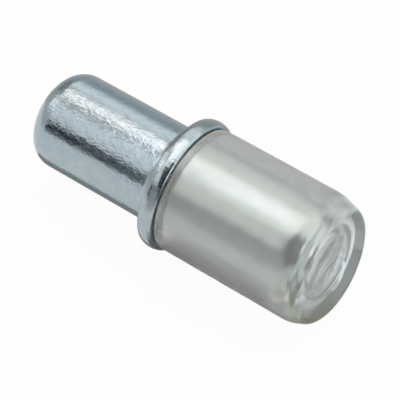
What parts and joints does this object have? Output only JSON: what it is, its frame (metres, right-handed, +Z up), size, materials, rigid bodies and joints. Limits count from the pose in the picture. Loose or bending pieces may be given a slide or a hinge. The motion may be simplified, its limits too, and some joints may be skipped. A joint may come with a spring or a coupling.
{
  "type": "shelf support pin",
  "caption": "Zinc-plated steel plug pin with a collar, its shelf end covered by a soft clear closed sleeve; plugs into a drilled cabinet side to carry a shelf.",
  "frame": {"origin": "on the pin's axis, in the plane of the collar's panel face, where the pin stops against the cabinet side", "axes": "+X along the pin's axis, out of the cabinet side towards the sleeve's closed end; +Z up towards the shelf; the closed end leans so that its lower edge reaches further along +X"},
  "size_m": [0.0172, 0.0068, 0.007],
  "materials": {
    "zinc_plated_steel": "bright blue-white zinc plating, lightly mottled",
    "clear_vinyl": "clear soft vinyl, slightly hazy, with a faint grey-green tint"
  },
  "bodies": {
    "root": {"steel_pin": "zinc_plated_steel", "clear_sleeve": "clear_vinyl"}
  },
  "joints": []
}
